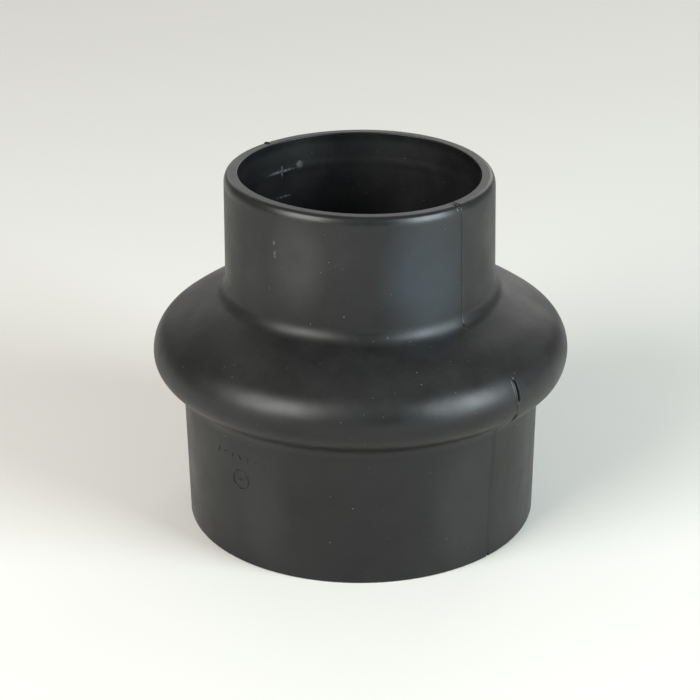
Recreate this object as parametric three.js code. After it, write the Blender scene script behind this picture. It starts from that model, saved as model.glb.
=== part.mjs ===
// Rubber hump reducer: a sleeve that joins a 110 mm pipe (below) to an 80 mm pipe (above).
// A wide cuff, one rounded hump and a narrower cuff follow each other on one axis.
// Millimetres, +Z up. The origin is the middle of the wide cuff's mouth, on the surface it stands on.
//
// The moulding is made as five rings with a fine gap between neighbours:
// large_cuff | lower_hump + upper_hump | shoulder | small_cuff.
// The rubber flexes at the three gaps marked |. Each of those is a short upright cylinder, so its rings
// can slide past each other and, over such a small height, also tilt about the middle of the gap.
// The gap between the halves of the hump is level, round the widest line.

import * as THREE from 'three';

// Driving dimensions
const WALL = 4.6;
const HEIGHT = 121.5;
const CUFF_MOUTH_R = 59.6;
const CUFF_TOP_R = 60.3;
const HUMP_R = 70.1;
const HUMP_Z = 59.9;
const CROWN_R = 12.3;
const CROWN_END = 54;
const FLANK_R = 104;
const NECK_ROOT_FILLET = 7;
const NECK_BASE_R = 45.2;
const NECK_TOP_R = 44.7;
const RIM_ROUND = 2.5;
const EDGE_ROUND = 0.9;
const INNER_CORNER = 3;
const SLIDE_R = 57;
const GAP = 0.4;

// Fineness of the solids
const SEGMENTS = 60;
const DEGREES_PER_STEP = 18;

// The hump's underside is one arc that starts level, straight above the edge of the wide cuff.
const UNDERSIDE_R = HUMP_R - CUFF_TOP_R - GAP;
const UNDERSIDE = { r: HUMP_R - UNDERSIDE_R, z: HUMP_Z };
const CREASE_Z = HUMP_Z - UNDERSIDE_R;

// The crown turns in over a tighter arc, and the long flank then runs up to the fillet at the neck.
const CROWN = { r: HUMP_R - CROWN_R, z: HUMP_Z };
const FLANK = polar(CROWN, CROWN_R - FLANK_R, CROWN_END);
const NECK_ROOT_R = NECK_BASE_R + NECK_ROOT_FILLET;
const FLANK_END = degrees(Math.acos((NECK_ROOT_R - FLANK.r) / (FLANK_R + NECK_ROOT_FILLET)));
const NECK_ROOT = polar(FLANK, FLANK_R + NECK_ROOT_FILLET, FLANK_END);
const NECK_EDGE = polar(FLANK, FLANK_R, FLANK_END);

function degrees(radians) {
  return THREE.MathUtils.radToDeg(radians);
}

// The point at a distance and an angle (0 is outwards, 90 is up) from a centre.
function polar(centre, distance, angle) {
  const turn = THREE.MathUtils.degToRad(angle);
  return { r: centre.r + distance * Math.cos(turn), z: centre.z + distance * Math.sin(turn) };
}

function arc(centre, radius, from, to) {
  const steps = Math.max(1, Math.round(Math.abs(to - from) / DEGREES_PER_STEP));
  const points = [];
  for (let i = 0; i <= steps; i += 1) {
    points.push(polar(centre, radius, from + ((to - from) * i) / steps));
  }
  return points;
}

// The angle on an arc of the flank at which it is a given distance from the axis.
function flankAngle(radius, r) {
  return degrees(Math.acos((r - FLANK.r) / radius));
}

// The angle on an arc round the hump at which it is half a gap above the widest line.
function widestAngle(radius) {
  return degrees(Math.asin(GAP / 2 / radius));
}

// Each outline runs round one ring's section: up its outside and down its inside.

function largeCuffOutline() {
  const bottomCorner = CUFF_MOUTH_R - EDGE_ROUND;
  const mouthBore = CUFF_MOUTH_R - WALL;
  const topBore = CUFF_TOP_R - WALL;
  const topZ = CREASE_Z + WALL;
  return [
    { r: mouthBore + EDGE_ROUND, z: 0 },
    ...arc({ r: bottomCorner, z: EDGE_ROUND }, EDGE_ROUND, -90, 0),
    { r: CUFF_TOP_R, z: CREASE_Z },
    { r: CUFF_TOP_R, z: topZ },
    ...arc({ r: topBore + INNER_CORNER, z: topZ - INNER_CORNER }, INNER_CORNER, 90, 180),
    { r: mouthBore, z: EDGE_ROUND },
  ];
}

function lowerHumpOutline() {
  const inner = UNDERSIDE_R - WALL;
  return [
    ...arc(UNDERSIDE, UNDERSIDE_R, -90, -widestAngle(UNDERSIDE_R)),
    ...arc(UNDERSIDE, inner, -widestAngle(inner), -90),
  ];
}

function upperHumpOutline() {
  const innerCrown = CROWN_R - WALL;
  const innerFlank = FLANK_R - WALL;
  const edge = SLIDE_R + GAP / 2;
  return [
    ...arc(CROWN, CROWN_R, widestAngle(CROWN_R), CROWN_END),
    ...arc(FLANK, FLANK_R, CROWN_END, flankAngle(FLANK_R, edge)).slice(1),
    ...arc(FLANK, innerFlank, flankAngle(innerFlank, edge), CROWN_END),
    ...arc(CROWN, innerCrown, CROWN_END, widestAngle(innerCrown)).slice(1),
  ];
}

function shoulderOutline() {
  const innerFlank = FLANK_R - WALL;
  const edge = SLIDE_R - GAP / 2;
  const rootEdge = NECK_EDGE.r + GAP;
  return [
    polar(FLANK, FLANK_R, flankAngle(FLANK_R, edge)),
    polar(FLANK, FLANK_R, flankAngle(FLANK_R, rootEdge)),
    polar(FLANK, innerFlank, flankAngle(innerFlank, rootEdge)),
    polar(FLANK, innerFlank, flankAngle(innerFlank, edge)),
  ];
}

function smallCuffOutline() {
  const innerFlank = FLANK_R - WALL;
  const fillet = NECK_ROOT_FILLET + WALL;
  const topBore = NECK_TOP_R - WALL;
  return [
    ...arc(NECK_ROOT, NECK_ROOT_FILLET, FLANK_END - 180, -180),
    ...arc({ r: NECK_TOP_R - RIM_ROUND, z: HEIGHT - RIM_ROUND }, RIM_ROUND, 0, 90),
    ...arc({ r: topBore + EDGE_ROUND, z: HEIGHT - EDGE_ROUND }, EDGE_ROUND, 90, 180),
    ...arc(NECK_ROOT, fillet, -180, FLANK_END - 180),
    polar(FLANK, innerFlank, flankAngle(innerFlank, NECK_EDGE.r)),
  ];
}

// Turns an outline round the Z axis.
function ring(name, outline, material) {
  const points = [...outline, outline[0]].map((p) => new THREE.Vector2(p.r, p.z));
  const geometry = new THREE.LatheGeometry(points, SEGMENTS);
  geometry.rotateX(Math.PI / 2);
  const mesh = new THREE.Mesh(geometry, material);
  mesh.name = name;
  return mesh;
}

function rubber() {
  return new THREE.MeshStandardMaterial({ color: 0x2b2d2f, roughness: 0.55, metalness: 0 });
}

const reducer = new THREE.Group();
reducer.add(ring('large_cuff', largeCuffOutline(), rubber()));
reducer.add(ring('lower_hump', lowerHumpOutline(), rubber()));
reducer.add(ring('upper_hump', upperHumpOutline(), rubber()));
reducer.add(ring('shoulder', shoulderOutline(), rubber()));
reducer.add(ring('small_cuff', smallCuffOutline(), rubber()));

export default reducer;
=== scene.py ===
"""Rubber hump reducer: the visible moulding, its material, and a plain studio around it.

The CAD model splits the moulding into five rings. Here they become one smooth closed surface, which
is cut on level planes into four skins that stand in place of the rings; the narrow cuff's skin is
attached to its body.
Everything is in metres, +Z up, with the origin in the middle of the wide cuff's mouth.
"""

import math

import bpy
import numpy as np
from mathutils import Matrix, Vector


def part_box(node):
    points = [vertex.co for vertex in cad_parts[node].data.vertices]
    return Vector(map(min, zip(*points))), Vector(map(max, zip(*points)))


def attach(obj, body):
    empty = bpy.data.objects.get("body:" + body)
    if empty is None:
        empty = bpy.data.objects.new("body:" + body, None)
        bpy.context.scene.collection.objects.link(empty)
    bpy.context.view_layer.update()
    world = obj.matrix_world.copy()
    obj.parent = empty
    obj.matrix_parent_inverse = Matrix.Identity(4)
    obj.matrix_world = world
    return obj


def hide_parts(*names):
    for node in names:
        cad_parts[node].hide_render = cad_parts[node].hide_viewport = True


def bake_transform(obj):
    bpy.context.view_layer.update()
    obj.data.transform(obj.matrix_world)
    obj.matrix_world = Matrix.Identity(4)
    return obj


MM = 0.001

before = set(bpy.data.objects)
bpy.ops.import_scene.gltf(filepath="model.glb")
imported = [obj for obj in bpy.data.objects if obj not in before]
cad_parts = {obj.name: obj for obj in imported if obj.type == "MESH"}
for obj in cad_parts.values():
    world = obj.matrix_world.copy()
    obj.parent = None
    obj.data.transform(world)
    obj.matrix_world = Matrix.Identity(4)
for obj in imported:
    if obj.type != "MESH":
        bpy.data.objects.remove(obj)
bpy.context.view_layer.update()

# Sizes that the frame gives
CUFF_TOP_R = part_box("large_cuff")[1].x
HUMP_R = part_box("upper_hump")[1].x
CREASE_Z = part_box("lower_hump")[0].z
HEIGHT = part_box("small_cuff")[1].z

# The section of the moulding
WALL = 4.6 * MM
CUFF_DRAFT = 0.7 * MM
HUMP_Z = 59.9 * MM
CROWN_R = 12.3 * MM
CROWN_END = 54
FLANK_R = 104 * MM
NECK_ROOT_FILLET = 5.5 * MM
NECK_BASE_R = 45.2 * MM
NECK_TOP_R = 44.7 * MM
RIM_ROUND = 1.7 * MM
SHOULDER_ROUND = 5 * MM
SHOULDER_TURN = 28
RIM_INNER_ROUND = 0.35 * MM
MOUTH_ROUND = 0.6 * MM
CREASE_FILLET = 7.5 * MM
INNER_CORNER = 3 * MM

# Where the moulding strays from a plain shape of revolution; turns are in degrees round the axis

# The crease under the hump is a little low and runs out of level, lowest at one turn
CREASE_DROP = 0.2 * MM
CREASE_TILT = 0.8 * MM
CREASE_LOW_TURN = 44
CREASE_BAND = 7 * MM

# The foot of the narrow cuff sits low on one side
FOOT_DROP = 1.3 * MM
FOOT_Z = 80.5 * MM
FOOT_BAND = 7.3 * MM
FOOT_LOW_TURN = -12
FOOT_SPREAD = 52

# The narrow cuff's end is a little low, out of square with its highest place at one turn, and bent
# like a saddle; it is level below a certain height
RIM_DROP = 0.25 * MM
RIM_TILT = 0.65 * MM
RIM_HIGH_TURN = -124
RIM_WARP = 0.35 * MM
RIM_LEVEL_Z = 94 * MM

# The faint bead round the inside of the narrow cuff
BEAD_DEPTH = 10.6 * MM
BEAD_HEIGHT = 0.15 * MM
BEAD_WIDTH = 0.9 * MM

# The skins meet on these levels
CROWN_CUT_Z = HUMP_Z
FLANK_CUT_Z = 73 * MM
NECK_CUT_Z = 88 * MM

# The two parting lines: their turns, and how far each leans off its plane down the wide cuff
SEAM_TURNS = (0, 182)
SEAM_LEAN = 1.3

# Ridges and grooves along each parting line, in millimetres: height (a groove's is negative), place
# beside the parting line, half width, lower end, upper end, and the length over which they run out
CREASE_MM, HUMP_MM, HEIGHT_MM = (level / MM for level in (CREASE_Z, HUMP_Z, HEIGHT))
SEAM_LINES = (
    # two lips and the split between them, on the crown of the hump
    (0.36, -0.7, 0.6, HUMP_MM + 1, HUMP_MM + 6.5, 1.5),
    (0.36, 0.7, 0.6, HUMP_MM + 1, HUMP_MM + 6.5, 1.5),
    (-0.9, 0, 0.45, HUMP_MM + 1, HUMP_MM + 6.5, 1.5),
    # the ridge below them
    (0.2, 0, 0.5, CREASE_MM + 7, HUMP_MM, 1),
    # a fine step on the wide cuff
    (0.11, -0.35, 0.4, -1, CREASE_MM - 2, 2),
    (-0.11, 0.25, 0.35, -1, CREASE_MM - 2, 2),
    # a hairline on the narrow cuff
    (-0.2, 0, 0.3, HUMP_MM + 24, HEIGHT_MM + 1, 4),
)

# Short marks on each parting line, in millimetres: height, place beside it, half width, z and half
# length
SEAM_SPOTS = (
    (-0.5, 0, 0.8, 0, 1.6),  # a nick at the mouth
    (-1.6, 0, 0.9, CREASE_MM + 3.6, 2.6),  # a notch under the hump
    (0.5, -0.3, 0.9, HUMP_MM + 20.6, 1.1),  # a fleck of flash at the foot of the narrow cuff
    (-0.3, 0.2, 0.6, HEIGHT_MM, 1.2),  # a nick in the rim
    (0.5, -0.8, 0.8, HEIGHT_MM - 0.6, 1.2),  # a fleck on the rim
)

# The mark on the wide cuff: a raised ring with a dot, under a row of short bars. The bars' spacing
# and leans are in degrees
MARK_TURN = -87
MARK_Z = 31 * MM
MARK_R = 3.3 * MM
MARK_TUBE = 0.3 * MM
BAR_ROW_Z = 39.2 * MM
BAR_LENGTH = 2.6 * MM
BAR_GAP = 3.2
BAR_LEANS = (80, 20, 90, -60, 90, 35, -70)
DOT_REACH = 0.7 * MM

# Fineness of the mesh: up the section, and round the axis, where it crowds at the parting lines
ARC_STEP = 0.8 * MM
ARC_TURN = 6
ARC_LEAST_STEPS = 5
LINE_STEP = 1.28 * MM
COARSE_TURN = 2.5
CROWD_STEPS = 16
CROWD_SPREAD = 3.6
CROWD_POWER = 1.5

# Fineness of the mark
RING_POINTS = 30
DOT_POINTS = 5
BAR_POINTS = 7
TUBE_SIDES = 8

# Distances below which two points, or a point and a level, count as one
SAME_POINT = 1e-7
SAME_LEVEL = 1e-6


# ---------------------------------------------------------------- outline of the section


def polar(centre, radius, angle):
    """The point at an angle in degrees (0 is outwards, 90 is up) round a centre (r, z)."""
    turn = math.radians(angle)
    return (centre[0] + radius * math.cos(turn), centre[1] + radius * math.sin(turn))


def arc(centre, radius, start, end):
    """Points on an arc, both ends included, fine enough to look round."""
    length = abs(math.radians(end - start)) * radius
    steps = max(ARC_LEAST_STEPS, round(length / ARC_STEP), round(abs(end - start) / ARC_TURN))
    return [polar(centre, radius, start + (end - start) * i / steps) for i in range(steps + 1)]


def line(start, end):
    """Points on a straight stretch, both ends included."""
    steps = max(1, round(math.dist(start, end) / LINE_STEP))
    (r0, z0), (r1, z1) = start, end
    return [(r0 + (r1 - r0) * i / steps, z0 + (z1 - z0) * i / steps) for i in range(steps + 1)]


def joined(*stretches):
    """One outline from stretches whose ends meet."""
    points = []
    for stretch in stretches:
        for point in stretch:
            if not points or math.dist(points[-1], point) > SAME_POINT:
                points.append(point)
    return points


# Centres are (r, z), and each turn is the angle at which two arcs meet
UNDERSIDE_R = HUMP_Z - CREASE_Z
UNDERSIDE = (HUMP_R - UNDERSIDE_R, HUMP_Z)
CREASE_REACH = CUFF_TOP_R + CREASE_FILLET - UNDERSIDE[0]
CREASE_TURN = -math.degrees(math.acos(CREASE_REACH / (UNDERSIDE_R + CREASE_FILLET)))
CREASE = polar(UNDERSIDE, UNDERSIDE_R + CREASE_FILLET, CREASE_TURN)
CROWN = (HUMP_R - CROWN_R, HUMP_Z)
FLANK = polar(CROWN, CROWN_R - FLANK_R, CROWN_END)
NECK_ROOT_REACH = NECK_BASE_R + NECK_ROOT_FILLET - FLANK[0]
FLANK_END = math.degrees(math.acos(NECK_ROOT_REACH / (FLANK_R + NECK_ROOT_FILLET)))
NECK_ROOT = polar(FLANK, FLANK_R + NECK_ROOT_FILLET, FLANK_END)


def outside():
    """The outer surface, from the wide cuff's mouth up to the top of the rim."""
    mouth_r = CUFF_TOP_R - CUFF_DRAFT
    lean = math.sin(math.radians(SHOULDER_TURN))
    drop = RIM_ROUND + (SHOULDER_ROUND - RIM_ROUND) * lean
    shoulder = (NECK_TOP_R - SHOULDER_ROUND, HEIGHT - drop)
    rim = polar(shoulder, SHOULDER_ROUND - RIM_ROUND, SHOULDER_TURN)
    return joined(
        arc((mouth_r - MOUTH_ROUND, MOUTH_ROUND), MOUTH_ROUND, -90, 0),
        line((mouth_r, MOUTH_ROUND), (CUFF_TOP_R, CREASE[1])),
        arc(CREASE, CREASE_FILLET, 180, CREASE_TURN + 180),
        arc(UNDERSIDE, UNDERSIDE_R, CREASE_TURN, 0),
        arc(CROWN, CROWN_R, 0, CROWN_END),
        arc(FLANK, FLANK_R, CROWN_END, FLANK_END),
        arc(NECK_ROOT, NECK_ROOT_FILLET, FLANK_END - 180, -180),
        line((NECK_BASE_R, NECK_ROOT[1]), (NECK_TOP_R, shoulder[1])),
        arc(shoulder, SHOULDER_ROUND, 0, SHOULDER_TURN),
        arc(rim, RIM_ROUND, SHOULDER_TURN, 90),
    )


def inside():
    """The inner surface, from the top of the rim down to the wide cuff's mouth."""
    mouth_r = CUFF_TOP_R - CUFF_DRAFT - WALL
    top_r = CUFF_TOP_R - WALL
    ceiling = HUMP_Z - UNDERSIDE_R + WALL
    corner = (top_r + INNER_CORNER, ceiling - INNER_CORNER)
    neck_r = NECK_TOP_R - WALL
    return joined(
        arc((neck_r + RIM_INNER_ROUND, HEIGHT - RIM_INNER_ROUND), RIM_INNER_ROUND, 90, 180),
        line((neck_r, HEIGHT - RIM_INNER_ROUND), (NECK_BASE_R - WALL, NECK_ROOT[1])),
        arc(NECK_ROOT, NECK_ROOT_FILLET + WALL, -180, FLANK_END - 180),
        arc(FLANK, FLANK_R - WALL, FLANK_END, CROWN_END),
        arc(CROWN, CROWN_R - WALL, CROWN_END, 0),
        arc(UNDERSIDE, UNDERSIDE_R - WALL, 0, -90),
        arc(corner, INNER_CORNER, 90, 180),
        line((top_r, corner[1]), (mouth_r, MOUTH_ROUND)),
        arc((mouth_r + MOUTH_ROUND, MOUTH_ROUND), MOUTH_ROUND, 180, 270),
    )


def with_level(points, level):
    """The outline with a point added exactly on a level, where it crosses it for the first time."""
    for i in range(len(points) - 1):
        (r0, z0), (r1, z1) = points[i], points[i + 1]
        if min(abs(z0 - level), abs(z1 - level)) < SAME_LEVEL:
            at = i if abs(z0 - level) < abs(z1 - level) else i + 1
            return points[:at] + [(points[at][0], level)] + points[at + 1 :]
        if (z0 - level) * (z1 - level) < 0:
            share = (level - z0) / (z1 - z0)
            return points[: i + 1] + [(r0 + (r1 - r0) * share, level)] + points[i + 1 :]
    return points


def index_at(points, level):
    return min(range(len(points)), key=lambda i: abs(points[i][1] - level))


# ---------------------------------------------------------------- parting line and surface detail


def smooth(x, low, high):
    """0 below low, 1 above high, with a smooth rise between."""
    t = np.clip((x - low) / (high - low), 0, 1)
    return t * t * (3 - 2 * t)


def bump_at(x, centre, width):
    """A rounded bump of height 1 that is gone a width away from its centre."""
    return np.clip(1 - ((x - centre) / width) ** 2, 0, None) ** 2


def turns():
    """The angles round the axis, in degrees, crowded together at the parting lines."""
    near = [CROWD_SPREAD * (k / CROWD_STEPS) ** CROWD_POWER for k in range(CROWD_STEPS + 1)]
    centres = (*SEAM_TURNS, 360)
    crowded = [centre + side * a for centre in centres for side in (-1, 1) for a in near]
    clear = CROWD_SPREAD + 0.4 * COARSE_TURN
    even = np.arange(0, 360, COARSE_TURN)
    coarse = [a for a in even if min(abs(a - centre) for centre in centres) > clear]
    return np.unique(np.round(np.mod(crowded + coarse, 360), 6))


def from_turn(angle, centre):
    """The signed angle from a centre, between -180 and 180 degrees."""
    return np.mod(angle - centre + 180, 360) - 180


def seam_drift(z):
    """How far, in degrees, the parting line leans off its plane: a little, down the wide cuff."""
    return -SEAM_LEAN * (1 - smooth(z, 0, CREASE_Z))


def between(z, low, high, ease):
    """1 between two levels, easing to 0 outside them."""
    return smooth(z, low - ease, low) * (1 - smooth(z, high, high + ease))


def outer_relief(angle, r, z):
    """How far the parting lines stand out of the outer surface, or are cut into it."""
    relief = 0
    for seam in SEAM_TURNS:
        side = np.radians(from_turn(angle, seam)) * r / MM
        for height, place, width, *span in SEAM_LINES:
            relief = relief + height * bump_at(side, place, width) * between(z / MM, *span)
        for height, place, width, *span in SEAM_SPOTS:
            relief = relief + height * bump_at(side, place, width) * bump_at(z / MM, *span)
    return relief * MM


def crease_drop(angle, z):
    """How far the crease under the hump sits low: it runs a little out of level."""
    drop = CREASE_DROP + CREASE_TILT * np.cos(np.radians(angle - CREASE_LOW_TURN))
    return drop * bump_at(z, HUMP_Z - CREASE_BAND, CREASE_BAND)


def foot_drop(angle, z):
    """How far the foot of the narrow cuff sits low, on one side only."""
    near = bump_at(from_turn(angle, FOOT_LOW_TURN), 0, FOOT_SPREAD)
    return FOOT_DROP * near * bump_at(z, FOOT_Z, FOOT_BAND)


def rim_rise(angle, z):
    """How far the narrow cuff's end stands high: it is out of square and not quite flat."""
    tilt = RIM_TILT * np.cos(np.radians(angle - RIM_HIGH_TURN))
    warp = RIM_WARP * np.cos(np.radians(2 * (angle - MARK_TURN)))
    return (tilt + warp - RIM_DROP) * smooth(z, RIM_LEVEL_Z, HEIGHT)


def surface():
    """Points and normals of the moulding, [ring, turn, xyz], as a closed grid, and its outlines."""
    outer = outside()
    inner = inside()
    for level in (CROWN_CUT_Z, FLANK_CUT_Z, NECK_CUT_Z):
        outer = with_level(outer, level)
        inner = with_level(inner, level)
    outline = np.array(outer + inner)
    ahead = np.roll(outline, -1, 0) - np.roll(outline, 1, 0)
    ahead /= np.linalg.norm(ahead, axis=1)[:, None]
    out_r, out_z = ahead[:, 1], -ahead[:, 0]

    angle = turns()[None, :]
    r, z = outline[:, :1], outline[:, 1:]
    is_outer = (np.arange(len(outline)) < len(outer))[:, None]
    bead = BEAD_HEIGHT * bump_at(z, HEIGHT - BEAD_DEPTH, BEAD_WIDTH)
    lift = np.where(is_outer, outer_relief(angle, r, z), bead)
    turn = np.radians(angle + seam_drift(z))
    reach = r + lift * out_r[:, None]
    drop = np.where(is_outer, crease_drop(angle, z) + foot_drop(angle, z), 0)
    level = z + lift * out_z[:, None] + rim_rise(angle, z) - drop
    points = np.stack([reach * np.cos(turn), reach * np.sin(turn), level], -1)

    along = np.roll(points, -1, 0) - np.roll(points, 1, 0)
    around = np.roll(points, -1, 1) - np.roll(points, 1, 1)
    normals = np.cross(around, along)
    normals /= np.linalg.norm(normals, axis=2)[..., None]
    return points, normals, outer, inner


# ---------------------------------------------------------------- meshes


def add_mesh(name, vertices, faces, normals, material):
    mesh = bpy.data.meshes.new(name)
    mesh.from_pydata(vertices, [], faces)
    mesh.materials.append(material)
    mesh.polygons.foreach_set("use_smooth", [True] * len(faces))
    mesh.normals_split_custom_set_from_vertices(normals)
    mesh.update()
    piece = bpy.data.objects.new(name, mesh)
    bpy.context.scene.collection.objects.link(piece)
    return piece


def wall(points, normals, rings):
    """Quads over a run of rings, closed round the axis."""
    turns_round = points.shape[1]
    vertices = points[rings].reshape(-1, 3)
    faces = [
        (
            k * turns_round + j,
            k * turns_round + (j + 1) % turns_round,
            (k + 1) * turns_round + (j + 1) % turns_round,
            (k + 1) * turns_round + j,
        )
        for k in range(len(rings) - 1)
        for j in range(turns_round)
    ]
    return vertices, faces, normals[rings].reshape(-1, 3)


def cut_face(points, outer_ring, inner_ring, up):
    """The level ring that closes a skin where it meets its neighbour."""
    rings = [outer_ring, inner_ring] if up > 0 else [inner_ring, outer_ring]
    flat = np.zeros_like(points)
    flat[..., 2] = up
    return wall(points, flat, rings)


def skin(name, points, normals, runs, cuts, material, extra=()):
    """One closed skin: runs of rings, and a level face on each cut (outer ring, inner ring, up)."""
    parts = [wall(points, normals, run) for run in runs]
    parts += [cut_face(points, *cut) for cut in cuts]
    parts += extra
    vertices, faces, directions, offset = [], [], [], 0
    for part_vertices, part_faces, part_normals in parts:
        vertices.append(part_vertices)
        faces += [tuple(i + offset for i in face) for face in part_faces]
        directions.append(part_normals)
        offset += len(part_vertices)
    return add_mesh(name, np.concatenate(vertices), faces, np.concatenate(directions), material)


def ridge(path, radius, closed):
    """A low half-sunk tube over the wide cuff along a path of (turn, z); open paths taper off."""
    spots = []
    for turn, z in path:
        r = CUFF_TOP_R - CUFF_DRAFT * (1 - z / CREASE_Z)
        spots.append((r * math.cos(math.radians(turn)), r * math.sin(math.radians(turn)), z))
    spots = np.array(spots)
    out = spots * (1, 1, 0)
    out /= np.linalg.norm(out, axis=1)[:, None]
    if closed:
        spots = np.concatenate([spots, spots[:1]])
        out = np.concatenate([out, out[:1]])
    ahead = np.gradient(spots, axis=0)
    if closed:
        ahead[0] = ahead[-1] = spots[1] - spots[-2]
    side = np.cross(ahead, out)
    side /= np.linalg.norm(side, axis=1)[:, None]
    count = len(spots)
    swell = np.ones(count)
    if not closed:
        swell = np.sqrt(np.clip(np.sin(np.linspace(0, math.pi, count)), 0, 1))
    turn = np.radians(np.arange(0, 360, 360 / TUBE_SIDES))[None, :, None]
    directions = out[:, None] * np.cos(turn) + side[:, None] * np.sin(turn)
    points = spots[:, None] + directions * (radius * swell)[:, None, None]
    return wall(points, directions, list(range(count)))


def mark():
    """The mark on the wide cuff, as parts for its skin."""
    degree = math.degrees(1 / CUFF_TOP_R)
    loop = [polar((0, 0), MARK_R, 360 * k / RING_POINTS) for k in range(RING_POINTS)]
    ring = [(MARK_TURN + x * degree, MARK_Z + z) for x, z in loop]
    across = np.linspace(-DOT_REACH, DOT_REACH, DOT_POINTS)
    dot = [(MARK_TURN + x * degree, MARK_Z) for x in across]
    parts = [ridge(ring, MARK_TUBE, True), ridge(dot, 2 * MARK_TUBE, False)]
    for k, lean in enumerate(BAR_LEANS):
        centre = MARK_TURN + BAR_GAP * (k - (len(BAR_LEANS) - 1) / 2)
        ends = [polar((0, 0), 0.5 * BAR_LENGTH, lean + turn) for turn in (180, 0)]
        bar = [(centre + x * degree, BAR_ROW_Z + z) for x, z in np.linspace(*ends, BAR_POINTS)]
        parts.append(ridge(bar, MARK_TUBE, False))
    return parts


def make_skins(material):
    """The four skins of the moulding, in place of the rings; the narrow cuff's skin is attached to
    its body.
    """
    points, normals, outer, inner = surface()
    count = len(outer) + len(inner)
    levels = (CROWN_CUT_Z, FLANK_CUT_Z, NECK_CUT_Z)
    out_at = [index_at(outer, level) for level in levels]
    in_at = [len(outer) + index_at(inner, level) for level in levels]

    runs = [[i % count for i in range(in_at[0], count + out_at[0] + 1)]]
    cuts = [(out_at[0], in_at[0], 1)]
    cuff = skin("large_cuff_skin", points, normals, runs, cuts, material, mark())
    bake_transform(cuff)
    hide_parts("large_cuff", "lower_hump")

    names = ("hump_skin", "shoulder_skin")
    nodes = ("upper_hump", "shoulder")
    for k, (name, node) in enumerate(zip(names, nodes)):
        outer_run = list(range(out_at[k], out_at[k + 1] + 1))
        inner_run = list(range(in_at[k + 1], in_at[k] + 1))
        cuts = [(out_at[k], in_at[k], -1), (out_at[k + 1], in_at[k + 1], 1)]
        piece = skin(name, points, normals, [outer_run, inner_run], cuts, material)
        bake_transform(piece)
        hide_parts(node)

    runs = [list(range(out_at[2], in_at[2] + 1))]
    cuts = [(out_at[2], in_at[2], -1)]
    neck = skin("small_cuff_skin", points, normals, runs, cuts, material)
    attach(neck, "small_end")
    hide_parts("small_cuff")


# ---------------------------------------------------------------- rubber

# Linear colours: the bare and the bloomed rubber of the wide cuff, darker as painted shade under
# the hump, then of the narrow one, lighter as painted light; the colour blends from one to the
# other up the hump
SHADED_LOW_BARE, SHADED_LOW_BLOOM = (0.002, 0.0021, 0.0023), (0.0055, 0.0057, 0.006)
LIT_HIGH_BARE, LIT_HIGH_BLOOM = (0.003, 0.0031, 0.0035), (0.009, 0.0093, 0.0098)
DUST = (0.36, 0.345, 0.32)
SPECK = (0.24, 0.235, 0.225)
SCUFF = (0.42, 0.42, 0.43)

# How much the dust on level surfaces and the streaks in a scuff cover, at the least and at the most
DUST_COVER = (0.006, 0.02)
SCUFF_COVER = (0, 0.38)

# Dust settles where the normal's Z is in this range, and it follows the bloom by this much
DUST_SLOPE = (0.35, 0.85)
DUST_BLOOM = (0.75, 1.3)

# Noises: scale, detail, roughness, and the range of the noise that is used
BLOOM_NOISE = (45, 5, 0.6, 0.36, 0.66)
CLOUD_NOISE = (70, 4, 0.55, 0.32, 0.68)
DUST_NOISE = (400, 2, 0.5, 0, 1)
SPECK_NOISE = (1300, 1, 0.5, 0.78, 0.84)
STREAK_NOISE = (1900, 3, 0.7, 0.4, 0.64)

# Noises used as fine relief: scale, detail, roughness, strength and depth
WAVES = (90, 2, 0.5, 0.35, 0.35 * MM)
GRAIN = (1500, 4, 0.65, 0.3, 0.08 * MM)

# Roughness of the wide cuff and of the narrow one, each from cloud to clear
LOW_ROUGH = (0.34, 0.44)
HIGH_ROUGH = (0.4, 0.51)
SPECULAR = 0.44

# The rim is this much smoother, from a little below its top
RIM_POLISH = 0.72
RIM_POLISH_Z = (HEIGHT - 4 * MM, HEIGHT - 2 * MM)

# Of a painted highlight's or a scuff's reach, the share within which it is full
PATCH_CORE = 0.4
# How far the bloom lets each painted highlight through, from least to most
PAINTED_HIGHLIGHT_BLOOM = (0.5, 1)

# Painted highlights: faint cloudy patches of painted softbox reflection, two on each cuff where the
# side lights are reflected: colour, then centre and reach in millimetres
PAINTED_HIGHLIGHTS = (
    ((0.015, 0.023, 0.029), (42.4, -14, 97), (16, 18, 29)),
    ((0.027, 0.028, 0.0285), (13, -42.8, 105), (12, 9, 18)),
    ((0.014, 0.014, 0.0145), (58.5, -13, 26), (9, 15, 28)),
    ((0.012, 0.012, 0.0125), (12.4, -58.8, 24), (11, 8, 28)),
)

# Pale scuffs, in millimetres (centre, reach): inside the narrow cuff along its bead and below it,
# then two on the outside of the narrow cuff and one in the fillet at its foot
SCUFFS = (
    ((-40, 2.8, 110.6), (2, 7.5, 0.7)),
    ((-38.8, 10.4, 111.6), (2, 1.6, 1.7)),
    ((-40, 3.2, 110.5), (2, 0.5, 2.6)),
    ((-40, 3.6, 101.2), (2, 3.8, 0.45)),
    ((5.3, -44.7, 110.3), (0.5, 2, 1.1)),
    ((5.5, -44.7, 106.3), (0.6, 2, 1.6)),
    ((37.6, -26.4, 81.9), (0.4, 0.4, 1.4)),
)


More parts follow.
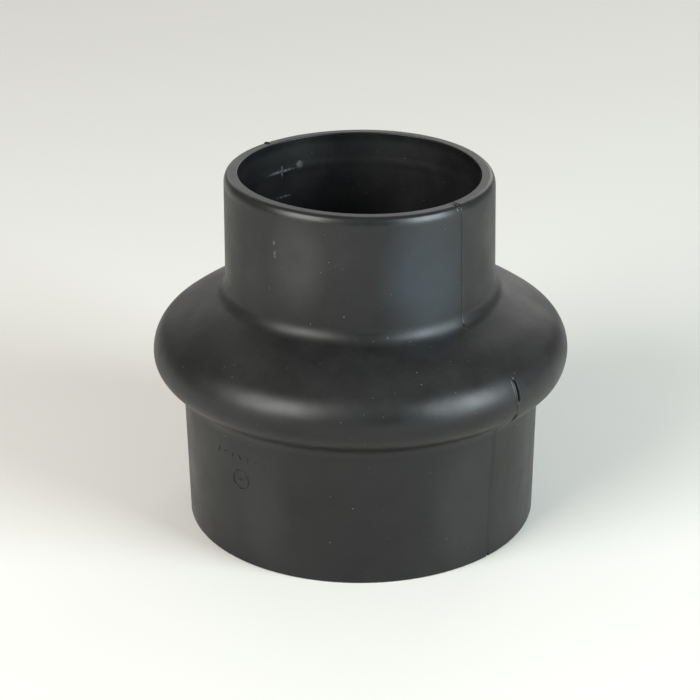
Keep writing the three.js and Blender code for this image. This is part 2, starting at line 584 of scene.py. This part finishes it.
class Graph:
    """Short ways to add nodes to a material; each method returns an output socket."""

    def __init__(self, material):
        material.use_nodes = True
        self.nodes = material.node_tree.nodes
        self.links = material.node_tree.links
        self.shader = self.nodes["Principled BSDF"]
        self.place = self.nodes.new("ShaderNodeTexCoord").outputs["Object"]
        self.normal = self.nodes.new("ShaderNodeNewGeometry").outputs["Normal"]

    def noise(self, scale, detail, roughness):
        node = self.nodes.new("ShaderNodeTexNoise")
        node.inputs["Scale"].default_value = scale
        node.inputs["Detail"].default_value = detail
        node.inputs["Roughness"].default_value = roughness
        self.links.new(self.place, node.inputs["Vector"])
        return node.outputs["Fac"]

    def remap(self, value, low, high, to_low, to_high):
        """A value from the range low to high, brought to another range and kept in it."""
        node = self.nodes.new("ShaderNodeMapRange")
        node.inputs["From Min"].default_value = low
        node.inputs["From Max"].default_value = high
        node.inputs["To Min"].default_value = to_low
        node.inputs["To Max"].default_value = to_high
        self.links.new(value, node.inputs["Value"])
        return node.outputs["Result"]

    def clouds(self, scale, detail, roughness, low, high, to_low=0, to_high=1):
        """Noise, with its part from low to high stretched over a range."""
        return self.remap(self.noise(scale, detail, roughness), low, high, to_low, to_high)

    def combine(self, operation, a, b):
        node = self.nodes.new("ShaderNodeMath")
        node.operation = operation
        self.links.new(a, node.inputs[0])
        self.links.new(b, node.inputs[1])
        return node.outputs[0]

    def upward(self, vector):
        """The Z of a vector."""
        node = self.nodes.new("ShaderNodeSeparateXYZ")
        self.links.new(vector, node.inputs["Vector"])
        return node.outputs["Z"]

    def patch(self, centre, reach):
        """1 at a place, falling to 0 a reach away along each axis; both in millimetres."""
        value = self.place
        for operation, numbers in (("SUBTRACT", centre), ("DIVIDE", reach)):
            node = self.nodes.new("ShaderNodeVectorMath")
            node.operation = operation
            node.inputs[1].default_value = [MM * number for number in numbers]
            self.links.new(value, node.inputs[0])
            value = node.outputs["Vector"]
        length = self.nodes.new("ShaderNodeVectorMath")
        length.operation = "LENGTH"
        self.links.new(value, length.inputs[0])
        return self.remap(length.outputs["Value"], PATCH_CORE, 1, 1, 0)

    def mix(self, share, a, b, kind="RGBA"):
        """a where the share is 0 and b where it is 1; each is a socket or a constant colour."""
        node = self.nodes.new("ShaderNodeMix")
        node.data_type = kind
        self.links.new(share, node.inputs[0])
        for name, value in (("A", a), ("B", b)):
            target = [s for s in node.inputs if s.name == name and s.enabled][0]
            if isinstance(value, tuple):
                target.default_value = (*value, 1)
            else:
                self.links.new(value, target)
        return [s for s in node.outputs if s.enabled][0]

    def bump(self, scale, detail, roughness, strength, depth, under=None):
        """Noise as relief, on top of another relief."""
        node = self.nodes.new("ShaderNodeBump")
        node.inputs["Strength"].default_value = strength
        node.inputs["Distance"].default_value = depth
        self.links.new(self.noise(scale, detail, roughness), node.inputs["Height"])
        if under is not None:
            self.links.new(under, node.inputs["Normal"])
        return node.outputs["Normal"]


def rubber_colour(graph, height):
    """Near black, bloomed and dusty, with specks, painted highlights of the side lights and scuffs
    on top; darker on the wide cuff as painted shade.
    """
    bloom = graph.clouds(*BLOOM_NOISE)
    low = graph.mix(bloom, SHADED_LOW_BARE, SHADED_LOW_BLOOM)
    high = graph.mix(bloom, LIT_HIGH_BARE, LIT_HIGH_BLOOM)
    level = graph.remap(graph.upward(graph.normal), *DUST_SLOPE, 0, 1)
    film = graph.combine("MULTIPLY", level, graph.remap(bloom, 0, 1, *DUST_BLOOM))
    dust = graph.combine("MULTIPLY", film, graph.clouds(*DUST_NOISE, *DUST_COVER))
    # The blend by height paints shade: darker on the wide cuff under the hump, lighter higher up as
    # painted light
    base = graph.mix(dust, graph.mix(height, low, high), DUST)
    base = graph.mix(graph.clouds(*SPECK_NOISE), base, SPECK)
    cloudy = graph.remap(bloom, 0, 1, *PAINTED_HIGHLIGHT_BLOOM)
    # Painted highlights: the side lights' reflections painted into the colour, two patches on each
    # cuff
    for colour, centre, reach in PAINTED_HIGHLIGHTS:
        painted_highlight = graph.combine("MULTIPLY", graph.patch(centre, reach), cloudy)
        base = graph.mix(painted_highlight, base, colour)
    worn = graph.patch(*SCUFFS[0])
    for scuff in SCUFFS[1:]:
        worn = graph.combine("MAXIMUM", worn, graph.patch(*scuff))
    streaks = graph.clouds(*STREAK_NOISE, *SCUFF_COVER)
    return graph.mix(graph.combine("MULTIPLY", worn, streaks), base, SCUFF)


def rubber_roughness(graph, height):
    """Satin, a little cloudy, and smoother at the rim."""
    cloud = graph.clouds(*CLOUD_NOISE)
    low = graph.remap(cloud, 0, 1, *LOW_ROUGH)
    high = graph.remap(cloud, 0, 1, *HIGH_ROUGH)
    rim = graph.remap(graph.upward(graph.place), *RIM_POLISH_Z, 1, RIM_POLISH)
    return graph.combine("MULTIPLY", graph.mix(height, low, high, "FLOAT"), rim)


def rubber():
    """Matt black moulded rubber."""
    material = bpy.data.materials.new("moulded_rubber")
    graph = Graph(material)
    inputs = graph.shader.inputs
    height = graph.remap(graph.upward(graph.place), CREASE_Z, NECK_CUT_Z, 0, 1)
    graph.links.new(rubber_colour(graph, height), inputs["Base Color"])
    graph.links.new(rubber_roughness(graph, height), inputs["Roughness"])
    graph.links.new(graph.bump(*GRAIN, graph.bump(*WAVES)), inputs["Normal"])
    inputs["Specular IOR Level"].default_value = SPECULAR
    return material


# ---------------------------------------------------------------- studio

# Where the camera stands, as a turn and a rise in degrees, and how it is set
VIEW_TURN = 44
VIEW_RISE = 24.7
VIEW_DISTANCE = 0.731
VIEW_AIM_Z = 51.3 * MM
VIEW_ROLL = -0.3
VIEW_SHIFT = (-0.0152, 0.0209)
LENS = 110.0

FLOOR_HALF = 4.0
PAPER = (0.8, 0.785, 0.745, 1)
PAPER_ROUGHNESS = 0.9
PAPER_SPECULAR = 0.2

ROOM = (1.0, 0.98, 0.93, 1)
ROOM_STRENGTH = 0.28

# Area lights: name, turn from the camera's, rise, distance, size, power and colour
BOXES = (
    ("left_box", -48, 28, 1.3, (0.8, 0.8), 18.5, (1.0, 0.99, 0.96)),
    ("right_box", 59, 20, 1.3, (0.7, 0.8), 22, (0.84, 0.96, 1.0)),
    ("left_back_box", -158, 30, 1.5, (0.6, 0.9), 0.6, (1, 1, 1)),
    ("right_back_box", 158, 25, 1.5, (0.6, 0.9), 2.2, (1, 1, 1)),
    ("backdrop", 180, 22, 2, (2.4, 1), 5, (1, 1, 1)),
)


def towards(turn, rise, distance, aim):
    """A place at a distance from aim: turn 0 is towards -Y and grows towards +X."""
    a, e = math.radians(turn), math.radians(rise)
    away = Vector((math.sin(a) * math.cos(e), -math.cos(a) * math.cos(e), math.sin(e)))
    return Vector(aim) + away * distance


def put_aimed(obj, place, aim, roll=0.0):
    """Puts an object that looks along its own -Z at a place, facing aim."""
    turn = (Vector(aim) - place).to_track_quat("-Z", "Y").to_matrix().to_4x4()
    rolled = Matrix.Rotation(math.radians(roll), 4, "Z")
    obj.matrix_world = Matrix.Translation(place) @ turn @ rolled
    bpy.context.scene.collection.objects.link(obj)


def make_camera():
    data = bpy.data.cameras.new("camera")
    data.lens = LENS
    data.shift_x, data.shift_y = VIEW_SHIFT
    camera = bpy.data.objects.new("camera", data)
    aim = (0, 0, VIEW_AIM_Z)
    place = towards(VIEW_TURN, VIEW_RISE, VIEW_DISTANCE, aim)
    put_aimed(camera, place, aim, VIEW_ROLL)
    bpy.context.scene.camera = camera


def softbox(name, turn, rise, distance, size, power, colour):
    """A rectangular area light, unseen by the camera."""
    data = bpy.data.lights.new(name, "AREA")
    data.shape = "RECTANGLE"
    data.size, data.size_y = size
    data.energy = power
    data.color = colour
    light = bpy.data.objects.new(name, data)
    light.visible_camera = False
    aim = (0, 0, HUMP_Z)
    put_aimed(light, towards(VIEW_TURN + turn, rise, distance, aim), aim)


def make_floor():
    """A sheet of warm white paper, far larger than the view."""
    material = bpy.data.materials.new("paper")
    material.use_nodes = True
    shader = material.node_tree.nodes["Principled BSDF"]
    shader.inputs["Base Color"].default_value = PAPER
    shader.inputs["Roughness"].default_value = PAPER_ROUGHNESS
    shader.inputs["Specular IOR Level"].default_value = PAPER_SPECULAR
    mesh = bpy.data.meshes.new("floor")
    signs = ((-1, -1), (1, -1), (1, 1), (-1, 1))
    corners = [(FLOOR_HALF * x, FLOOR_HALF * y, 0) for x, y in signs]
    mesh.from_pydata(corners, [], [(0, 1, 2, 3)])
    mesh.materials.append(material)
    floor = bpy.data.objects.new("floor", mesh)
    bpy.context.scene.collection.objects.link(floor)


def make_light():
    """A large softbox on either side of the camera, weaker ones behind, and a dim room."""
    world = bpy.data.worlds.new("studio")
    world.use_nodes = True
    background = world.node_tree.nodes["Background"]
    background.inputs["Color"].default_value = ROOM
    background.inputs["Strength"].default_value = ROOM_STRENGTH
    bpy.context.scene.world = world
    for box in BOXES:
        softbox(*box)


make_camera()
make_floor()
make_light()
make_skins(rubber())
bpy.context.scene.view_settings.view_transform = "Standard"
